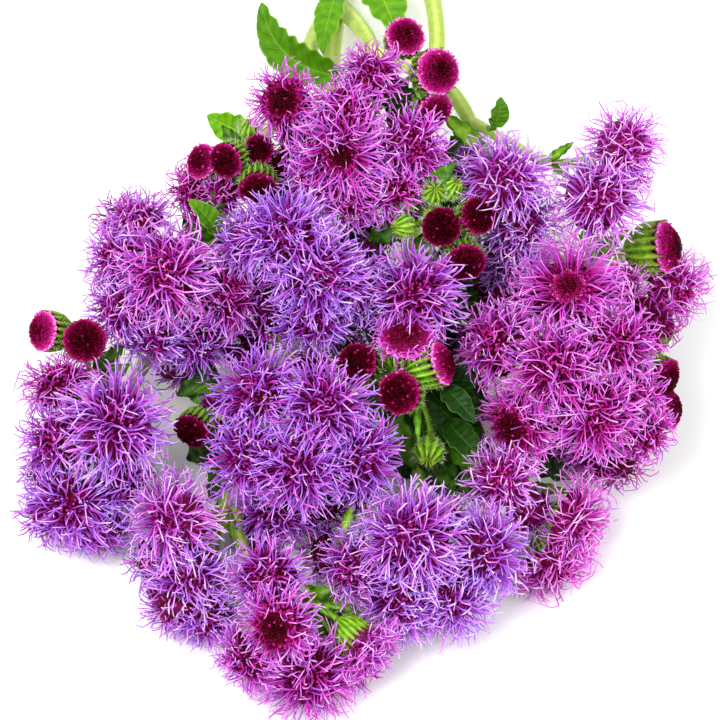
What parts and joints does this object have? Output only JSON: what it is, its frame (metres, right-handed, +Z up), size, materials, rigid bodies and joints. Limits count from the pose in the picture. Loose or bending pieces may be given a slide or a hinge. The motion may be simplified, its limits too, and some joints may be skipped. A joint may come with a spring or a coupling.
{
  "type": "cut ageratum flowering top",
  "caption": "Cut ageratum top lying down: a forked green stem whose sprays carry feathery magenta and violet tufts, wine-red buds and toothed leaves.",
  "frame": {"origin": "middle of the outline, on the surface that the cut top lies on", "axes": "+Z up from that surface, +Y along the main stem towards its cut end, +X to the right as the flower face is seen"},
  "size_m": [0.108, 0.1852, 0.0517],
  "materials": {
    "stem": "pale green herbaceous stem, fine white hairs, matte",
    "stalk": "hairy pale green flower stalks and ribbed green cups with wine-tinged tips",
    "leaf": "toothed leaf, mid green with paler veins, slightly glossy",
    "bud": "unopened head, wine red, finely granular and velvety",
    "floret_magenta": "dense thread-like florets, magenta pink with lilac tips, soft",
    "floret_violet": "dense thread-like florets, violet with pale lilac tips, soft"
  },
  "bodies": {
    "root": {"bud_a_10": "bud", "bud_a_11": "bud", "bud_a_9": "bud", "bud_b_3": "bud", "bud_b_4": "bud", "bud_b_5": "bud", "bud_b_6": "bud", "bud_b_7": "bud", "bud_g_3": "bud", "bud_g_4": "bud", "bud_g_5": "bud", "bud_h_1": "bud", "bud_h_2": "bud", "bud_h_3": "bud", "bud_j_7": "bud", "bud_k_7": "bud", "bud_k_8": "bud", "bud_p_3": "bud", "bud_q_10": "bud", "bud_q_11": "bud", "leaf_1": "leaf", "leaf_2": "leaf", "leaf_3": "leaf", "leaf_4": "leaf", "leaf_5": "leaf", "leaf_6": "leaf", "leaf_7": "leaf", "leaf_8": "leaf", "main_stem": "stem", "spray_a_florets": "floret_magenta", "spray_a_stalks": "stalk", "spray_b_florets": "floret_magenta", "spray_b_stalks": "stalk", "spray_c_florets": "floret_violet", "spray_c_stalks": "stalk", "spray_g_florets": "floret_violet", "spray_g_stalks": "stalk", "spray_h_stalks": "stalk", "spray_j_florets": "floret_violet", "spray_j_stalks": "stalk", "spray_k_florets": "floret_violet", "spray_k_stalks": "stalk", "spray_l_florets": "floret_magenta", "spray_l_stalks": "stalk", "spray_m_florets": "floret_magenta", "spray_m_stalks": "stalk", "spray_n_florets": "floret_violet", "spray_n_stalks": "stalk", "spray_p_florets": "floret_magenta", "spray_p_stalks": "stalk", "spray_q_florets": "floret_magenta", "spray_q_stalks": "stalk", "spray_r_florets": "floret_violet", "spray_r_stalks": "stalk", "spray_s_florets": "floret_magenta", "spray_s_stalks": "stalk", "spray_t_florets": "floret_violet", "spray_t_stalks": "stalk", "spray_u_florets": "floret_magenta", "spray_u_stalks": "stalk"}
  },
  "joints": []
}
